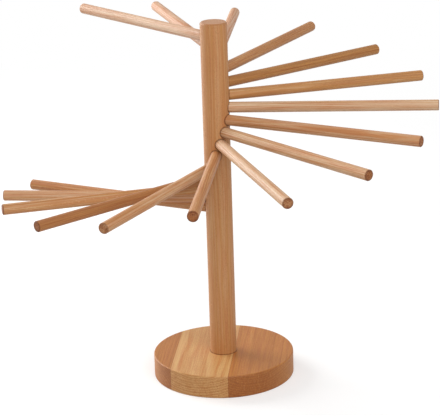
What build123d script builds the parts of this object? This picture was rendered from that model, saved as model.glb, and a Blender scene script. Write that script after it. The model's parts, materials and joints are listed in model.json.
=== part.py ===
from build123d import *
from math import cos, radians, sin
import os

# A free-standing wooden drying rack: a round base, an upright post, and a falling
# spiral of rods that push into sockets drilled in the post.
# The origin is the centre of the base's underside, +Z is up, and the sizes are in millimetres.

# Rods and their sockets
rod_count = 16
rod_diameter = 12.0
rod_length = 250.0
rod_end_chamfer = 0.8
socket_clearance = 0.1
wood_behind_socket = 10.0
wood_between_sockets = 0.8
socket_mouth_ease = 0.3

# Where the rods stand on the post, in millimetres and degrees
wood_above_top_socket = 12.4
lowest_rod_over_base = 171.5
top_rod_azimuth = 135.0
spiral_turn = 360.0

# How far each socket was drilled off level, in degrees, from the top one down
socket_lean_degrees = (
    -0.5, 0.4, 0.5, 0.3, -0.5, -0.3, 0.4, 0.0,
    0.0, 0.0, 1.2, -0.2, -0.9, 0.5, 0.4, -0.4,
)

# How deep each socket is, as a share of the full depth, from the top one down
socket_depth_shares = (
    1.0, 1.0, 1.0, 1.0, 1.0, 1.0, 1.0, 1.0,
    1.0, 1.0, 1.0, 1.0, 1.0, 1.0, 1.0, 0.725,
)

# Centre post
post_diameter = 30.0
post_top_chamfer = 1.5
post_foot_chamfer = 1.0

# Base, a round of glued staves that run from front to back.
# The glue lines stand at these shares of its radius, left to right.
base_diameter = 160.0
base_thickness = 26.0
base_edge_round = 1.5
glue_line_shares = (-0.68, 0.155)
wood_under_post = 11.0
seat_clearance = 0.05

# Countersunk wood screw that holds the post down
screw_length = 45.0
screw_head_diameter = 10.0
screw_head_recess = 0.6
screw_shank_diameter = 5.0
screw_core_diameter = 3.4
screw_plain_length = 14.0
screw_thread_pitch = 2.5
screw_point_length = 5.0
screw_hole_clearance = 0.1
screw_pilot_overrun = 2.0
recess_width = 5.0
recess_slot = 1.1
recess_depth = 2.2

# One overrun serves every cut that has to pass through a face
cut_overrun = 1.0

# Sizes that follow from the ones above
post_radius = post_diameter / 2
rod_radius = rod_diameter / 2
socket_radius = rod_radius + socket_clearance
socket_depth = post_diameter - wood_behind_socket
rod_drop = 2 * socket_radius + wood_between_sockets
azimuth_step = spiral_turn / rod_count
seat_floor = wood_under_post
lowest_rod_height = base_thickness + lowest_rod_over_base
top_rod_height = lowest_rod_height + (rod_count - 1) * rod_drop
post_top = top_rod_height + socket_radius + wood_above_top_socket
base_radius = base_diameter / 2
stave_edges = (
    -base_radius - cut_overrun,
    *(share * base_radius for share in glue_line_shares),
    base_radius + cut_overrun,
)
countersink_depth = (screw_head_diameter - screw_shank_diameter) / 2
shank_hole_radius = screw_shank_diameter / 2 + screw_hole_clearance
screw_tip = screw_head_recess + screw_length


def socket_floor_plane(number):
    """The flat bottom of a socket, facing out along it. A rod's line crosses the post's axis."""
    azimuth = radians(top_rod_azimuth - number * azimuth_step)
    lean = radians(socket_lean_degrees[number % len(socket_lean_degrees)])
    outward = Vector(cos(lean) * cos(azimuth), cos(lean) * sin(azimuth), sin(lean))
    crossing = Vector(0, 0, top_rod_height - number * rod_drop)
    crossing_plane = Plane(origin=crossing, z_dir=outward)
    depth = socket_depth * socket_depth_shares[number % len(socket_depth_shares)]
    return crossing_plane.offset(post_radius - depth)


def screw_outline():
    """The half section of the screw, from the centre of its head up to its point."""
    core = screw_core_diameter / 2
    shank = screw_shank_diameter / 2
    head = screw_head_diameter / 2
    thread_start = screw_head_recess + screw_plain_length
    turns = int((screw_tip - screw_point_length - thread_start) / screw_thread_pitch)
    points = [
        (0, screw_head_recess),
        (head, screw_head_recess),
        (shank, screw_head_recess + countersink_depth),
        (shank, thread_start),
        (core, thread_start),
    ]
    for turn in range(turns):
        crest = thread_start + (turn + 1 / 2) * screw_thread_pitch
        root = thread_start + (turn + 1) * screw_thread_pitch
        points += [(shank, crest), (core, root)]
    points += [(core, screw_tip - screw_point_length), (0, screw_tip)]
    return points


os.makedirs("parts", exist_ok=True)

# The base, one stave at a time: the whole round, kept only between two stave edges
for number, (left_edge, right_edge) in enumerate(zip(stave_edges, stave_edges[1:]), start=1):
    with BuildPart() as base_stave:
        with BuildSketch(Plane.XY):
            Circle(base_radius)
        extrude(amount=base_thickness)
        fillet(base_stave.edges().filter_by(GeomType.CIRCLE), base_edge_round)
        with BuildSketch(Plane.XY):
            with Locations(((left_edge + right_edge) / 2, 0)):
                Rectangle(right_edge - left_edge, base_diameter)
        extrude(amount=base_thickness, mode=Mode.INTERSECT)
        # The post's seat, sunk from above
        with BuildSketch(Plane.XY.offset(seat_floor)):
            Circle(post_radius + seat_clearance)
        extrude(amount=base_thickness - seat_floor + cut_overrun, mode=Mode.SUBTRACT)
        # The screw's hole, with its countersink and the recess for the head
        with BuildSketch(Plane.XY.offset(-cut_overrun)):
            Circle(shank_hole_radius)
        extrude(amount=seat_floor + 2 * cut_overrun, mode=Mode.SUBTRACT)
        with BuildSketch(Plane.XZ):
            with BuildLine():
                Polyline(
                    (0, -cut_overrun),
                    (screw_head_diameter / 2 + screw_hole_clearance, -cut_overrun),
                    (screw_head_diameter / 2 + screw_hole_clearance, screw_head_recess),
                    (shank_hole_radius, screw_head_recess + countersink_depth),
                    (0, screw_head_recess + countersink_depth),
                    close=True,
                )
            make_face()
        revolve(axis=Axis.Z, mode=Mode.SUBTRACT)
    base_stave.part.label = f"base_stave_{number}"
    export_step(base_stave.part, f"parts/base_stave_{number}.step")

# The post, from its seat in the base to above the top rod
with BuildPart() as centre_post:
    with BuildSketch(Plane.XY.offset(seat_floor)):
        Circle(post_radius)
    extrude(amount=post_top - seat_floor)
    chamfer(centre_post.edges().sort_by(Axis.Z)[-1], post_top_chamfer)
    chamfer(centre_post.edges().sort_by(Axis.Z)[0], post_foot_chamfer)
    for number in range(rod_count):
        with BuildSketch(socket_floor_plane(number)):
            Circle(socket_radius)
        extrude(amount=socket_depth + cut_overrun, mode=Mode.SUBTRACT)
    # The edges where the sockets come out through the round of the post
    chamfer(centre_post.edges().filter_by(GeomType.BSPLINE), socket_mouth_ease)
    # The pilot hole that the screw's thread bites into
    with BuildSketch(Plane.XY.offset(seat_floor)):
        Circle(screw_core_diameter / 2 + screw_hole_clearance)
    extrude(amount=screw_tip + screw_pilot_overrun - seat_floor, mode=Mode.SUBTRACT)
centre_post.part.label = "centre_post"
export_step(centre_post.part, "parts/centre_post.step")

# The rods, from the top one down
for number in range(rod_count):
    with BuildPart() as rod:
        with BuildSketch(socket_floor_plane(number)):
            Circle(rod_radius)
        extrude(amount=rod_length)
        chamfer(rod.edges().filter_by(GeomType.CIRCLE), rod_end_chamfer)
    rod.part.label = f"rod_{number + 1:02d}"
    export_step(rod.part, f"parts/rod_{number + 1:02d}.step")

# The screw, with a cross recess in its head
with BuildPart() as base_screw:
    with BuildSketch(Plane.XZ):
        with BuildLine():
            Polyline(*screw_outline(), close=True)
        make_face()
    revolve(axis=Axis.Z)
    with BuildSketch(Plane.XY.offset(screw_head_recess)):
        Rectangle(recess_width, recess_slot)
        Rectangle(recess_slot, recess_width)
    extrude(amount=recess_depth, mode=Mode.SUBTRACT)
base_screw.part.label = "base_screw"
export_step(base_screw.part, "parts/base_screw.step")
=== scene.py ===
import json
import math

import bpy
from mathutils import Euler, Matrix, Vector


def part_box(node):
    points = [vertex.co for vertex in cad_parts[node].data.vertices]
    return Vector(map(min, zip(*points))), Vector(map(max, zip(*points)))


# The looks of a wooden drying rack: a round base glued up from staves, an upright post, a falling spiral
# of pull-out rods, and the screw that holds the post from below. The wood is plain sanded beech.
# Lengths are in metres and angles in degrees, unless a name or its heading says otherwise.
# A share runs from 0 to 1.

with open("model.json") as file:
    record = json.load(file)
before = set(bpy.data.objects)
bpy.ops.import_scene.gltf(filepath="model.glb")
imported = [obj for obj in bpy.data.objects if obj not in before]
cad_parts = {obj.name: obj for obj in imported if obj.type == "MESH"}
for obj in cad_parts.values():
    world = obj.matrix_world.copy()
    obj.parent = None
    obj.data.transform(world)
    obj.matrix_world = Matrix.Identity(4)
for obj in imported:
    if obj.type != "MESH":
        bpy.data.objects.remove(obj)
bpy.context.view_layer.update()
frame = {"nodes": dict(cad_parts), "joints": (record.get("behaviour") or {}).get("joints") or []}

# Camera, as it stood for the photograph: its place, by its distance from the post's axis, its height and
# its bearing from the front, and then which way it looked. The focal length is in pixels of the
# photograph, which is 440 of them wide.
image_width_px = 440
focal_length_px = 1936.85
sensor_width_mm = 36.0
camera_reach = 2.0718
camera_height = 0.8634
camera_azimuth = 6.208
camera_heading = 6.180
camera_pitch = 17.817
camera_roll = -1.817
camera_clip_start = 0.05
camera_clip_end = 50.0

# Light: an even level from all round, a soft box high in front, and a lower one behind on the left
ambient_level = 0.42
key_power = 47.5
key_size = (2.4, 2.0)
key_place = (0.85, -1.96, 1.9)
rim_power = 64.0
rim_size = (1.6, 2.4)
rim_place = (-1.80, 1.05, 0.75)
aim_height = 0.25

# Floor: how far it reaches each way, its own grey, the white that is added where it is seen,
# and how far out it starts and ends its fade to plain white
floor_reach = 6.0
floor_grey = 0.64
floor_lift = 0.405
floor_fade_start = 0.55
floor_fade_end = 1.6

# Each piece of wood: how light it is, how pink, and how dark at its ends, as shares of what the palette
# below allows, then how far off the tree's pith it was cut, and how far it is turned about its fibre
# The rods' darkness at their ends is partly their own and partly painted light and shade on their end
# faces
rod_tone_shares = (
    (0.78, 0.76, 0.90), (0.64, 0.80, 0.90), (0.66, 0.80, 0.90), (0.38, 0.42, 0.90),
    (0.22, 0.25, 0.80), (0.46, 0.22, 0.90), (0.73, 0.45, 0.90), (0.56, 0.60, 0.90),
    (0.70, 0.45, 1.00), (0.74, 0.45, 0.84), (0.46, 0.52, 0.86), (0.59, 0.42, 0.42),
    (0.20, 0.68, 0.54), (0.50, 0.38, 0.90), (0.66, 0.62, 0.90), (0.43, 0.62, 0.90),
)
rod_pith_mm = (34, 52, 28, 61, 40, 75, 48, 31, 57, 66, 26, 44, 70, 38, 54, 30)
rod_spin = (12, 95, 161, 48, 130, 5, 78, 144, 33, 110, 171, 62, 20, 101, 155, 84)
post_tone_shares = (0.52, 0.42, 0.26)
post_pith_mm = 62
post_spin = -68
stave_tone_shares = ((0.30, 0.66, 0.56), (0.71, 0.64, 0.26), (0.39, 0.68, 0.62))
stave_pith_mm = (46, 120, 70)
stave_spin = (130, -94, -91)

# The width of a year's growth. The rods' widths are dealt out so that neighbours differ.
rod_least_ring_mm = 1.5
rod_ring_step_mm = 0.11
rod_ring_widths = 9
rod_ring_stride = 5
post_ring_mm = 2.1
stave_ring_mm = 2.9

# How much farther up its trunk each next piece was cut
rod_shift_mm = 611.0
stave_shift_mm = 371.0

# Each kind of piece, in shares: how strongly its figure shows, how blotched its sawn ends are,
# and how strongly a painted warm light, as if bounced onto it, tints its colour
rod_finish = {"figure": 0.62, "sawn": 0.85, "warmth": 0.0}
post_finish = {"figure": 0.27, "sawn": 0.10, "warmth": 0.0}
stave_finish = {"figure": 0.42, "sawn": 0.12, "warmth": 0.9}

# The radius of a rod, then the dark edge round the cut ends of the rods and the post: how wide it is,
# how dark, and how evenly that shows, from the least to the most
rod_radius_mm = 6.0
rod_edge_mm = 2.4
rod_edge_share = 0.6
post_edge_mm = 1.4
post_edge_share = 0.12
edge_evenness = (0.6, 1.0)

# Where wood meets wood it is a little darker: partly a real stain from the drill, the glue and handling,
# and partly painted shade in the sockets and in the corners where the rods and the base meet the post.
# Such darkening starts at one distance from the joint and is full at a nearer one. Round the post it lies
# just off its side, and in the base's seat it fades out below the top. What is far off has no joint near
# it.
socket_clearance_mm = 0.1
socket_stain_and_shade_start_mm = 1.2
socket_stain_and_shade_full_mm = 0.1
seam_width_mm = 0.9
seam_full_share = 0.3
seam_off_post_mm = 0.2
seat_stain_and_shade_start_mm = 3.0
seat_stain_and_shade_full_mm = 1.0
glue_line_width_mm = 0.25
glue_line_share = 0.7
stain_and_shade_evenness = (0.65, 1.0)
far_off_mm = 1000.0

# Patterns in the wood. A size is that of one cell, in millimetres: out from the pith, round it,
# and along the fibre. The speckle and the blotches of cut ends have the same size each way.
# The reach is how widely the grain wanders from straight, also in millimetres, and the uneven years
# are how much of a year's growth, at most, a ring is early or late by.
wander_size = (26.0, 26.0, 150.0)
wander_reach = (4.2, 4.2, 0.0)
uneven_size = (5.0, 1.0, 900.0)
uneven_years = 1.6
fine_size = (0.22, 0.22, 14.0)
medium_size = (1.3, 1.3, 60.0)
broad_size = (8.0, 8.0, 130.0)
ray_size = (4.0, 0.45, 2.4)
end_ray_size = (7.0, 0.30, 7.0)
pore_size = (0.42, 0.42, 7.0)
speckle_size = (1.2, 1.2, 1.2)
blotch_size = (2.8, 2.8, 2.8)
speckle_turn_radians = (0.9, 0.6, 0.4)
pattern_middle = (0.5, 0.5, 0.5)

# Between which values of its pattern each thing goes from nothing to its full strength.
# For the way that a face was cut, the pattern is how far it faces along an axis.
late_rise_limits = (0.25, 0.90)
late_fall_limits = (1.0, 0.93)
bad_year_limits = (0.3, 0.7)
across_limits = (0.30, 0.80)
upright_limits = (0.55, 0.98)
blotch_limits = (0.40, 0.62)
ray_choice_limits = (0.45, 0.60)
ray_limits = (0.58, 0.25)
end_ray_limits = (0.54, 0.68)
pore_limits = (0.34, 0.16)
flush_limits = (0.3, 0.7)
mottle_limits = (0.42, 0.68)
dark_edge_limits = (0.2, 0.8)
stain_and_shade_limits = (0.25, 0.75)
rough_limits = (0.25, 0.75)
haze_limits = (0.3, 0.7)
scratch_limits = (0.4, 0.8)

# The limits of each pattern of the fibre, and how much it darkens the wood. Late wood darkens it by
# the first amount in good years and by the second in bad ones, and a piece's own lightness is that of
# wood with the plain shade. The flush is how far the streaks swing between tan and pink.
fibre_shades = {"medium": (0.28, 0.72, 0.40), "broad": (0.30, 0.70, 0.22), "fine": (0.25, 0.75, 0.16)}
late_wood_shades = (0.18, 0.42)
plain_shade = 0.49
plain_flush = 0.5
flush_swing = 0.8

# How fully each mark covers the wood under it
fleck_cover = 0.36
silver_cover = 0.26
pore_cover = 0.16
ring_cover = 0.34
mottle_cover = 0.50
end_ray_cover = 0.18

# Gloss and relief of the wood: its roughness, what marks and cut ends add to it, and how high
# each pattern stands
wood_ior = 1.43
wood_roughness = (0.48, 0.58)
pore_roughness = 0.10
silver_roughness = -0.08
sawn_roughness = (-0.14, 0.22)
wood_relief_mm = {"fine": 0.005, "medium": 0.014, "late": 0.010, "pore": -0.008, "ray": -0.004}

# Steel: a haze between two greys, and fine scratches, with the sizes of their cells in millimetres
haze_size = (1.4, 1.4, 1.4)
scratch_size = (0.12, 3.0, 3.0)
steel_roughness = (0.24, 0.38)
scratch_roughness = 0.16
haze_relief_mm = 0.006
scratch_relief_mm = 0.004

millimetre = 0.001
mm_per_metre = 1000.0


def centre_of(node):
    low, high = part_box(node)
    return (low + high) / 2


def crossing_height_mm(joint):
    """How high a rod's line crosses the post's axis."""
    centre = centre_of(joint["child"])
    axis = Vector(joint["axis"])
    return (centre.z - axis.z * centre.xy.length / axis.xy.length) * mm_per_metre


# Places on the rack, from the frame: the post's side, the base's top and glue lines,
# and the sockets, which go once round the post, clockwise from the top one down
rods = sorted(frame["joints"], key=lambda joint: joint["child"])
post_radius_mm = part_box("centre_post")[1].x * mm_per_metre
base_top_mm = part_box("base_stave_1")[1].z * mm_per_metre
glue_lines_mm = [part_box(stave)[1].x * mm_per_metre for stave in ("base_stave_1", "base_stave_2")]
last_socket = len(rods) - 1
top_socket_mm = crossing_height_mm(rods[0])
socket_drop_mm = (top_socket_mm - crossing_height_mm(rods[-1])) / last_socket
top_socket_azimuth = math.degrees(math.atan2(rods[0]["axis"][1], rods[0]["axis"][0]))
socket_azimuth_step = -360.0 / len(rods)
socket_radius_mm = rod_radius_mm + socket_clearance_mm


class Nodes:
    """Adds nodes to one node tree, each with its inputs linked or set by name or number."""

    def __init__(self, tree):
        self.tree = tree

    def fill(self, socket, value):
        """Links an input to another node's output, or sets it to a plain value."""
        if isinstance(value, bpy.types.NodeSocket):
            self.tree.links.new(value, socket)
        else:
            socket.default_value = value

    def add(self, kind, inputs=None, **settings):
        node = self.tree.nodes.new(kind)
        for name, value in settings.items():
            setattr(node, name, value)
        for name, value in (inputs or {}).items():
            self.fill(node.inputs[name], value)
        return node

    def math(self, operation, *values, clamp=False):
        inputs = dict(enumerate(values))
        return self.add("ShaderNodeMath", inputs, operation=operation, use_clamp=clamp).outputs[0]

    def plus(self, first, second, clamp=False):
        return self.math("ADD", first, second, clamp=clamp)

    def minus(self, first, second):
        return self.math("SUBTRACT", first, second)

    def times(self, first, second):
        return self.math("MULTIPLY", first, second)

    def plus_scaled(self, start, value, scale, clamp=False):
        """A start, plus a value times its scale."""
        return self.math("MULTIPLY_ADD", value, scale, start, clamp=clamp)

    def absolute(self, value):
        return self.math("ABSOLUTE", value)

    def vector(self, operation, *values):
        inputs = dict(enumerate(values))
        node = self.add("ShaderNodeVectorMath", inputs, operation=operation)
        return node.outputs["Value" if operation == "LENGTH" else "Vector"]

    def split(self, vector):
        return self.add("ShaderNodeSeparateXYZ", {"Vector": vector}).outputs

    def join(self, x, y, z):
        return self.add("ShaderNodeCombineXYZ", {"X": x, "Y": y, "Z": z}).outputs[0]

    def length(self, x, y):
        return self.vector("LENGTH", self.join(x, y, 0.0))

    def in_millimetres(self, place):
        return self.vector("MULTIPLY", place, (mm_per_metre, mm_per_metre, mm_per_metre))

    def stretch(self, vector, sizes):
        """Divides a point by the size, in each direction, that one cell of a pattern has."""
        return self.vector("DIVIDE", vector, sizes)

    def in_axes(self, vector, **axes):
        """A vector as seen from axes that have their own Location, Rotation and Scale."""
        inputs = {"Vector": vector, **axes}
        return self.add("ShaderNodeMapping", inputs, vector_type="TEXTURE").outputs[0]

    def noise(self, vector, detail=2.0, roughness=0.5, output="Fac"):
        inputs = {"Vector": vector, "Scale": 1.0, "Detail": detail, "Roughness": roughness}
        return self.add("ShaderNodeTexNoise", inputs).outputs[output]

    def cells(self, vector, distance="EUCLIDEAN"):
        inputs = {"Vector": vector, "Scale": 1.0}
        return self.add("ShaderNodeTexVoronoi", inputs, distance=distance).outputs

    def ramp(self, value, low, high, to_low=0.0, to_high=1.0, smooth=True):
        inputs = {"Value": value, "From Min": low, "From Max": high, "To Min": to_low, "To Max": to_high}
        kind = "SMOOTHSTEP" if smooth else "LINEAR"
        return self.add("ShaderNodeMapRange", inputs, interpolation_type=kind).outputs["Result"]

    def depths(self, value, colours):
        """The colour at a depth from 0 to 1, between colours that stand evenly along it."""
        node = self.add("ShaderNodeValToRGB", {"Fac": value})
        stops = node.color_ramp.elements
        while len(stops) < len(colours):
            stops.new(0.5)
        for number, shown in enumerate(colours):
            stops[number].position = number / (len(colours) - 1)
            stops[number].color = shown
        return node.outputs["Color"]

    def mix(self, share, first, second, blend="MIX"):
        node = self.add("ShaderNodeMix", data_type="RGBA", blend_type=blend)
        for name, value in (("Factor", share), ("A", first), ("B", second)):
            socket = next(socket for socket in node.inputs if socket.name == name and socket.enabled)
            self.fill(socket, value)
        return next(socket for socket in node.outputs if socket.enabled)

    def darken(self, share, shown, darkening):
        """A colour multiplied by another, by a share of the way."""
        return self.mix(share, shown, darkening, "MULTIPLY")


def colour(red, green, blue):
    """A colour given as it looks on a screen, from 0 to 1, in the linear form that nodes take."""
    def linear(value):
        return value / 12.92 if value <= 0.04045 else ((value + 0.055) / 1.055) ** 2.4

    return (linear(red), linear(green), linear(blue), 1.0)


# Beech in three depths, from the darkest to the palest, and from tan to pink, and the marks in it
tan_depths = (colour(0.58, 0.38, 0.165), colour(0.72, 0.51, 0.285), colour(0.85, 0.75, 0.62))
pink_depths = (colour(0.57, 0.335, 0.155), colour(0.72, 0.475, 0.30), colour(0.86, 0.73, 0.635))
red_brown = colour(0.50, 0.24, 0.12)
fleck_brown = colour(0.36, 0.18, 0.06)
silver_grain = colour(0.86, 0.70, 0.54)

# The screw's zinc, and the white all round
bright_zinc = colour(0.74, 0.75, 0.77)
dull_zinc = colour(0.60, 0.61, 0.62)
plain_white = colour(1.0, 1.0, 1.0)

# What the wood's colour is multiplied by: at cut ends, at their edges and saw marks, where wood meets
# wood, as a real stain with painted shade, and where a painted warm light falls
end_darkening = (0.64, 0.45, 0.26, 1.0)
edge_darkening = (0.42, 0.33, 0.26, 1.0)
sawn_darkening = (0.66, 0.50, 0.38, 1.0)
# Partly a real stain and partly painted shade: the junctions and the sockets are darkened as if shaded
stain_and_shade_colour = (0.42, 0.30, 0.21, 1.0)
# Painted warm light: a yellow cast on the base, as from light bounced onto it
painted_warm_light = (1.0, 0.90, 0.52, 1.0)


def find_grain(nodes, given):
    """The patterns of beech at a point of the tree. Each runs from 0 to 1."""
    # Where the point lies: out from the pith, round it, and up the trunk
    wander = nodes.noise(nodes.stretch(given["Point"], wander_size), output="Color")
    wander = nodes.vector("SUBTRACT", wander, pattern_middle)
    point = nodes.vector("MULTIPLY_ADD", wander, wander_reach, given["Point"])
    x, y, z = nodes.split(point)
    x = nodes.plus(x, given["Pith"])
    out = nodes.length(x, y)
    round_pith = nodes.times(nodes.math("ARCTAN2", y, x), given["Pith"])
    in_trunk = nodes.join(out, round_pith, z)

    # Growth rings of uneven width, with a darker late wood that ends sharply
    uneven = nodes.noise(nodes.stretch(nodes.join(out, 0.0, z), uneven_size), detail=1.0)
    years = nodes.plus_scaled(nodes.math("DIVIDE", out, given["Ring"]), uneven, uneven_years)
    season = nodes.math("FRACT", years)
    late = nodes.times(nodes.ramp(season, *late_rise_limits), nodes.ramp(season, *late_fall_limits))
    bad_year = nodes.noise(nodes.join(nodes.math("FLOOR", years), 0.0, 0.0), detail=0.0)

    # Which way the surface was cut: across the fibre, or flat or upright to the rings
    facing = nodes.split(given["Facing"])
    across = nodes.ramp(nodes.absolute(facing["Z"]), *across_limits)
    upright = nodes.ramp(nodes.absolute(facing["Y"]), *upright_limits)

    # Fibre, from hair-fine streaks to broad bands of tone. Where it is cut across it is speckled,
    # from a pattern that is turned, so that no face lies along its cells.
    fine = nodes.noise(nodes.stretch(point, fine_size), roughness=0.6)
    medium = nodes.noise(nodes.stretch(point, medium_size), detail=3.0, roughness=0.55)
    broad = nodes.noise(nodes.stretch(point, broad_size))
    turned = {"Vector": point, "Rotation": speckle_turn_radians}
    turned = nodes.add("ShaderNodeMapping", turned).outputs[0]
    speckle = nodes.noise(nodes.stretch(turned, speckle_size), detail=3.0, roughness=0.6)
    medium = nodes.plus_scaled(medium, nodes.minus(speckle, medium), across)
    blotch = nodes.ramp(nodes.noise(nodes.stretch(turned, blotch_size)), *blotch_limits)

    # Rays: thin sheets that stand along the fibre and run out from the pith.
    # They show as flecks on the long faces and as fine lines across the rings on the ends.
    sheet = nodes.cells(nodes.stretch(in_trunk, ray_size), distance="MANHATTAN")
    chosen = nodes.ramp(nodes.split(sheet["Color"])["X"], *ray_choice_limits)
    ray = nodes.times(nodes.ramp(sheet["Distance"], *ray_limits), chosen)
    ray = nodes.times(ray, nodes.minus(1.0, across))
    end_ray = nodes.noise(nodes.stretch(in_trunk, end_ray_size), detail=1.0)
    end_ray = nodes.ramp(end_ray, *end_ray_limits)

    # Pores: short open vessels, which are dots on the end grain
    pore = nodes.cells(nodes.stretch(point, pore_size))["Distance"]
    pore = nodes.ramp(pore, *pore_limits)

    return {
        "late": late, "bad_year": bad_year, "across": across, "upright": upright,
        "fine": fine, "medium": medium, "broad": broad, "blotch": blotch,
        "ray": ray, "silver": nodes.times(ray, upright), "end_ray": end_ray, "pore": pore,
    }


def long_grain_colour(nodes, given, grain):
    """The colour of the faces that run along the fibre."""
    late_shade = nodes.ramp(grain["bad_year"], *bad_year_limits, *late_wood_shades)
    shade = nodes.times(grain["late"], late_shade)
    for name, (low, high, darkest) in fibre_shades.items():
        shade = nodes.plus_scaled(shade, nodes.ramp(grain[name], low, high), darkest)
    contrast = nodes.times(nodes.minus(plain_shade, shade), given["Figure"])
    depth = nodes.plus(given["Lightness"], contrast, clamp=True)
    flush = nodes.minus(nodes.ramp(grain["medium"], *flush_limits), plain_flush)
    flush = nodes.plus_scaled(given["Pinkness"], flush, flush_swing, clamp=True)
    wood = nodes.mix(flush, nodes.depths(depth, tan_depths), nodes.depths(depth, pink_depths))
    fleck = nodes.times(grain["ray"], nodes.minus(1.0, grain["upright"]))
    wood = nodes.mix(nodes.times(fleck, fleck_cover), wood, fleck_brown)
    wood = nodes.mix(nodes.times(grain["silver"], silver_cover), wood, silver_grain)
    return nodes.mix(nodes.times(grain["pore"], pore_cover), wood, fleck_brown)


def end_grain_colour(nodes, given, grain, wood):
    """The colour of the faces that are cut across the fibre, from that of the long faces."""
    end = nodes.darken(given["End"], wood, end_darkening)
    ringed = nodes.times(nodes.times(grain["late"], given["Figure"]), ring_cover)
    end = nodes.mix(ringed, end, fleck_brown)
    mottled = nodes.times(given["End"], mottle_cover)
    mottled = nodes.times(nodes.ramp(grain["medium"], *mottle_limits), mottled)
    end = nodes.mix(mottled, end, red_brown)
    end = nodes.darken(nodes.times(grain["blotch"], given["Sawn"]), end, sawn_darkening)
    end = nodes.mix(nodes.times(grain["end_ray"], end_ray_cover), end, silver_grain)
    # The ends darken towards their edges, more in some places along them than in others
    dark_edge_share = nodes.times(given["Rim"], nodes.ramp(grain["broad"], *dark_edge_limits, *edge_evenness))
    return nodes.darken(dark_edge_share, end, edge_darkening)


def wood_colour(nodes, given, grain):
    """The colour of a face, however it is cut, with its joint stain, painted shade and painted warm
    light.
    """
    long_grain = long_grain_colour(nodes, given, grain)
    wood = nodes.mix(grain["across"], long_grain, end_grain_colour(nodes, given, grain, long_grain))
    # Darker where wood meets wood: a real stain, with painted shade in the sockets and round the post
    stain_and_shade_share = nodes.times(given["Joint"], nodes.ramp(grain["medium"], *stain_and_shade_limits, *stain_and_shade_evenness))
    wood = nodes.darken(stain_and_shade_share, wood, stain_and_shade_colour)
    # The painted warm light on the base
    return nodes.darken(given["Warmth"], wood, painted_warm_light)


def wood_gloss(nodes, given, grain):
    """Duller in the pores and on blotched ends, and smoother on silver grain and on clean ends."""
    rough = nodes.ramp(grain["fine"], *rough_limits, *wood_roughness)
    rough = nodes.plus_scaled(rough, grain["pore"], pore_roughness)
    rough = nodes.plus_scaled(rough, grain["silver"], silver_roughness)
    at_ends = nodes.ramp(given["Sawn"], 0.0, 1.0, *sawn_roughness, smooth=False)
    return nodes.plus_scaled(rough, grain["across"], at_ends)


def wood_height(nodes, grain):
    """The relief of the surface, in millimetres."""
    height = 0.0
    for name, relief in wood_relief_mm.items():
        height = nodes.plus_scaled(height, grain[name], relief)
    return height


def beech_group():
    """Solid beech. Point is in millimetres and Facing is a normal, and both have Z along the fibre
    and X away from the pith."""
    group = bpy.data.node_groups.new("beech", "ShaderNodeTree")
    numbers = ("Pith", "Ring", "Lightness", "Pinkness", "Figure", "End", "Sawn", "Rim", "Joint", "Warmth")
    for in_out, kind, names in (
        ("INPUT", "NodeSocketVector", ("Point", "Facing")),
        ("INPUT", "NodeSocketFloat", numbers),
        ("OUTPUT", "NodeSocketColor", ("Color",)),
        ("OUTPUT", "NodeSocketFloat", ("Roughness", "Height")),
    ):
        for name in names:
            group.interface.new_socket(name, in_out=in_out, socket_type=kind)
    nodes = Nodes(group)
    given = nodes.add("NodeGroupInput").outputs
    grain = find_grain(nodes, given)
    nodes.add("NodeGroupOutput", {
        "Color": wood_colour(nodes, given, grain),
        "Roughness": wood_gloss(nodes, given, grain),
        "Height": wood_height(nodes, grain),
    })
    return group


beech = beech_group()


def near(nodes, value, place, width):
    """1 where a value is at a place, and 0 from a width away."""
    distance = nodes.absolute(nodes.minus(value, place))
    return nodes.ramp(distance, width, seam_full_share * width)


def at_sockets(nodes, x, y, z):
    """1 inside the sockets and along their mouths, and 0 a little way off. Places are in millimetres."""
    above = nodes.math("FLOOR", nodes.math("DIVIDE", nodes.minus(top_socket_mm, z), socket_drop_mm))
    nearest = far_off_mm
    # Only the next socket up and the next one down can be near a point
    for step in (0.0, 1.0):
        number = nodes.plus(above, step)
        number = nodes.math("MINIMUM", nodes.math("MAXIMUM", number, 0.0), last_socket)
        azimuth = nodes.plus_scaled(top_socket_azimuth, number, socket_azimuth_step)
        azimuth = nodes.math("RADIANS", azimuth)
        east = nodes.math("COSINE", azimuth)
        north = nodes.math("SINE", azimuth)
        aside = nodes.minus(nodes.times(x, north), nodes.times(y, east))
        along = nodes.plus(nodes.times(x, east), nodes.times(y, north))
        up = nodes.minus(z, nodes.plus_scaled(top_socket_mm, number, -socket_drop_mm))
        behind = nodes.math("LESS_THAN", along, 0.0)
        distance = nodes.plus_scaled(nodes.length(aside, up), behind, far_off_mm)
        nearest = nodes.math("MINIMUM", nearest, distance)
    # Inside the sockets and round their mouths: painted shade, with a real stain from the drill
    start = socket_radius_mm + socket_stain_and_shade_start_mm
    full = socket_radius_mm + socket_stain_and_shade_full_mm
    return nodes.ramp(nearest, start, full)


def round_post(nodes, x, y):
    """1 on the line where a piece meets the post."""
    return near(nodes, nodes.length(x, y), post_radius_mm + seam_off_post_mm, seam_width_mm)


def post_joints(nodes, x, y, z):
    # Painted shade round the post's foot, where it stands in the base
    foot = near(nodes, z, base_top_mm, seam_width_mm)
    return nodes.math("MAXIMUM", at_sockets(nodes, x, y, z), foot)


def rod_joints(nodes, x, y, z):
    # Painted shade round a rod where it goes into the post, with a real handling mark
    return round_post(nodes, x, y)


def stave_joints(nodes, x, y, z):
    # Painted shade round the post in the base's seat; the glue lines are a real stain
    at_top = nodes.ramp(z, base_top_mm - seat_stain_and_shade_start_mm, base_top_mm - seat_stain_and_shade_full_mm)
    joint = nodes.times(round_post(nodes, x, y), at_top)
    for line in glue_lines_mm:
        glued = nodes.times(near(nodes, x, line, glue_line_width_mm), glue_line_share)
        joint = nodes.math("MAXIMUM", joint, glued)
    return joint


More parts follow.
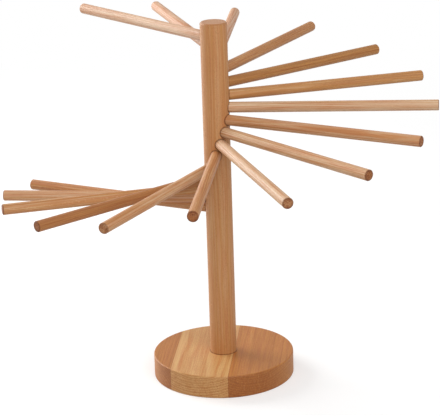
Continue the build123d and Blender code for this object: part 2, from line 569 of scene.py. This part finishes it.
def end_edge(radius, width, darkness):
    """Makes what finds the dark edge round the ends of a piece that is round about its fibre."""
    def find(nodes, x, y):
        return nodes.ramp(nodes.length(x, y), radius - width, radius - width / 2, 0.0, darkness)

    return find


def no_edge(nodes, x, y):
    return 0.0


def new_material(name):
    """A material with nothing in it yet, and its nodes."""
    material = bpy.data.materials.new(name)
    material.use_nodes = True
    material.node_tree.nodes.clear()
    return material, Nodes(material.node_tree)


def add_surface(nodes, height_mm, inputs):
    """The shader of a solid thing, with relief from a height in millimetres."""
    relief = nodes.add("ShaderNodeBump", {"Height": height_mm, "Distance": millimetre, "Strength": 1.0})
    shader = nodes.add("ShaderNodeBsdfPrincipled", {**inputs, "Normal": relief.outputs[0]})
    nodes.add("ShaderNodeOutputMaterial", {"Surface": shader.outputs[0]})


def wood_material(name, turn, pith_mm, ring_mm, shift_mm, tone, finish, joints, edge):
    """Beech for the piece of that name. turn lays the tree's own axes, Z up the trunk, on the piece's.
    joints finds where the piece meets its neighbours, and edge finds the edges of its cut ends."""
    material, nodes = new_material(name)
    place = nodes.add("ShaderNodeTexCoord").outputs
    joint = joints(nodes, *nodes.split(nodes.in_millimetres(place["Object"])))
    facing = nodes.in_axes(place["Normal"], Rotation=turn)
    scale = (millimetre, millimetre, millimetre)
    point = nodes.in_axes(place["Object"], Location=centre_of(name), Rotation=turn, Scale=scale)
    x, y, z = nodes.split(point)
    lightness, pinkness, end = tone
    wood = nodes.add("ShaderNodeGroup", {
        "Point": nodes.join(x, y, nodes.plus(z, shift_mm)),
        "Facing": facing,
        "Pith": pith_mm,
        "Ring": ring_mm,
        "Lightness": lightness,
        "Pinkness": pinkness,
        "End": end,
        "Figure": finish["figure"],
        "Sawn": finish["sawn"],
        "Warmth": finish["warmth"],
        "Rim": edge(nodes, x, y),
        "Joint": joint,
    }, node_tree=beech).outputs
    add_surface(nodes, wood["Height"], {
        "Base Color": wood["Color"],
        "Roughness": wood["Roughness"],
        "IOR": wood_ior,
    })
    return material


def steel_material():
    """Bright zinc on a pressed and rolled screw, with a faint haze and fine scratches."""
    material, nodes = new_material("screw_steel")
    point = nodes.in_millimetres(nodes.add("ShaderNodeTexCoord").outputs["Object"])
    haze = nodes.noise(nodes.stretch(point, haze_size), detail=4.0, roughness=0.6)
    scratch = nodes.noise(nodes.stretch(point, scratch_size), roughness=0.7)
    rough = nodes.ramp(haze, *haze_limits, *steel_roughness)
    rough = nodes.plus_scaled(rough, nodes.ramp(scratch, *scratch_limits), scratch_roughness)
    height = nodes.plus_scaled(nodes.times(haze, haze_relief_mm), scratch, scratch_relief_mm)
    add_surface(nodes, height, {
        "Base Color": nodes.mix(nodes.ramp(haze, *haze_limits), bright_zinc, dull_zinc),
        "Metallic": 1.0,
        "Roughness": rough,
    })
    return material


def dress(node, material):
    for slot in frame["nodes"][node].material_slots:
        slot.material = material


def laid_along(direction, spin):
    """The rotation that turns Z to a direction, after a spin about Z."""
    straight = Vector(direction).to_track_quat("Z", "Y").to_matrix()
    spun = Euler((0.0, 0.0, math.radians(spin))).to_matrix()
    return (straight @ spun).to_euler()


# The rods, whose fibre runs along the way that they pull out
rod_edge = end_edge(rod_radius_mm, rod_edge_mm, rod_edge_share)
for number, (rod, tone, pith, spin) in enumerate(zip(rods, rod_tone_shares, rod_pith_mm, rod_spin)):
    turn = laid_along(rod["axis"], spin)
    ring = rod_least_ring_mm + rod_ring_step_mm * ((number * rod_ring_stride) % rod_ring_widths)
    shift = rod_shift_mm * (number + 1)
    dress(rod["child"], wood_material(
        rod["child"], turn, pith, ring, shift, tone, rod_finish, rod_joints, rod_edge
    ))

# The post, with upright fibre
post_edge = end_edge(post_radius_mm, post_edge_mm, post_edge_share)
post_turn = laid_along((0.0, 0.0, 1.0), post_spin)
dress("centre_post", wood_material(
    "centre_post", post_turn, post_pith_mm, post_ring_mm, 0.0,
    post_tone_shares, post_finish, post_joints, post_edge
))

# The base's staves, whose fibre runs from front to back
for number, (tone, pith, spin) in enumerate(zip(stave_tone_shares, stave_pith_mm, stave_spin), start=1):
    stave = f"base_stave_{number}"
    turn = laid_along((0.0, 1.0, 0.0), spin)
    shift = stave_shift_mm * number
    dress(stave, wood_material(
        stave, turn, pith, stave_ring_mm, shift, tone, stave_finish, stave_joints, no_edge
    ))

dress("base_screw", steel_material())


def make_camera():
    data = bpy.data.cameras.new("camera")
    data.sensor_width = sensor_width_mm
    data.lens = sensor_width_mm * focal_length_px / image_width_px
    data.clip_start = camera_clip_start
    data.clip_end = camera_clip_end
    camera = bpy.data.objects.new("camera", data)
    bpy.context.scene.collection.objects.link(camera)
    bearing = math.radians(camera_azimuth)
    camera.location = (camera_reach * math.sin(bearing), -camera_reach * math.cos(bearing), camera_height)
    heading = Euler((0.0, 0.0, math.radians(camera_heading))).to_matrix()
    tilt = Euler((math.radians(90.0 - camera_pitch), 0.0, 0.0)).to_matrix()
    roll = Euler((0.0, 0.0, math.radians(camera_roll))).to_matrix()
    camera.rotation_euler = (heading @ tilt @ roll).to_euler()
    bpy.context.scene.camera = camera


def make_light(name, place, size, power):
    """A soft box that faces the rack."""
    data = bpy.data.lights.new(name, "AREA")
    data.shape = "RECTANGLE"
    data.size, data.size_y = size
    data.energy = power
    light = bpy.data.objects.new(name, data)
    bpy.context.scene.collection.objects.link(light)
    light.location = place
    towards = Vector((0.0, 0.0, aim_height)) - Vector(place)
    light.rotation_euler = towards.to_track_quat("-Z", "Y").to_euler()


def shown_directly(nodes):
    """1 for what cameras, gloss and glass see, and 0 for light on its way to a matt surface."""
    path = nodes.add("ShaderNodeLightPath").outputs
    shown = nodes.math("MAXIMUM", path["Is Camera Ray"], path["Is Glossy Ray"])
    return nodes.math("MAXIMUM", shown, path["Is Transmission Ray"])


def make_world():
    """Even light from all round, which cameras, gloss and glass see as white."""
    world = bpy.data.worlds.new("world")
    bpy.context.scene.world = world
    world.use_nodes = True
    world.node_tree.nodes.clear()
    nodes = Nodes(world.node_tree)
    level = nodes.ramp(shown_directly(nodes), 0.0, 1.0, ambient_level, 1.0, smooth=False)
    sky = nodes.add("ShaderNodeBackground", {"Color": plain_white, "Strength": level})
    nodes.add("ShaderNodeOutputWorld", {"Surface": sky.outputs[0]})


def make_floor():
    """A pale floor that takes the rack's shadow and fades to plain white further off."""
    mesh = bpy.data.meshes.new("floor")
    signs = ((-1, -1), (1, -1), (1, 1), (-1, 1))
    corners = [(across * floor_reach, back * floor_reach, 0.0) for across, back in signs]
    mesh.from_pydata(corners, [], [(0, 1, 2, 3)])
    floor = bpy.data.objects.new("floor", mesh)
    bpy.context.scene.collection.objects.link(floor)
    material, nodes = new_material("floor")
    mesh.materials.append(material)
    shown = shown_directly(nodes)
    matt = nodes.add("ShaderNodeBsdfDiffuse", {"Color": (floor_grey, floor_grey, floor_grey, 1.0)})
    lift = nodes.add("ShaderNodeEmission", {"Strength": nodes.times(shown, floor_lift)})
    close_by = nodes.add("ShaderNodeAddShader", {0: matt.outputs[0], 1: lift.outputs[0]})
    white = nodes.add("ShaderNodeEmission", {"Strength": 1.0})
    distance = nodes.vector("LENGTH", nodes.add("ShaderNodeTexCoord").outputs["Object"])
    faded = nodes.times(nodes.ramp(distance, floor_fade_start, floor_fade_end), shown)
    surface = nodes.add("ShaderNodeMixShader", {0: faded, 1: close_by.outputs[0], 2: white.outputs[0]})
    nodes.add("ShaderNodeOutputMaterial", {"Surface": surface.outputs[0]})


make_camera()
make_light("key", key_place, key_size, key_power)
make_light("rim", rim_place, rim_size, rim_power)
make_world()
make_floor()
bpy.context.scene.view_settings.view_transform = "Standard"
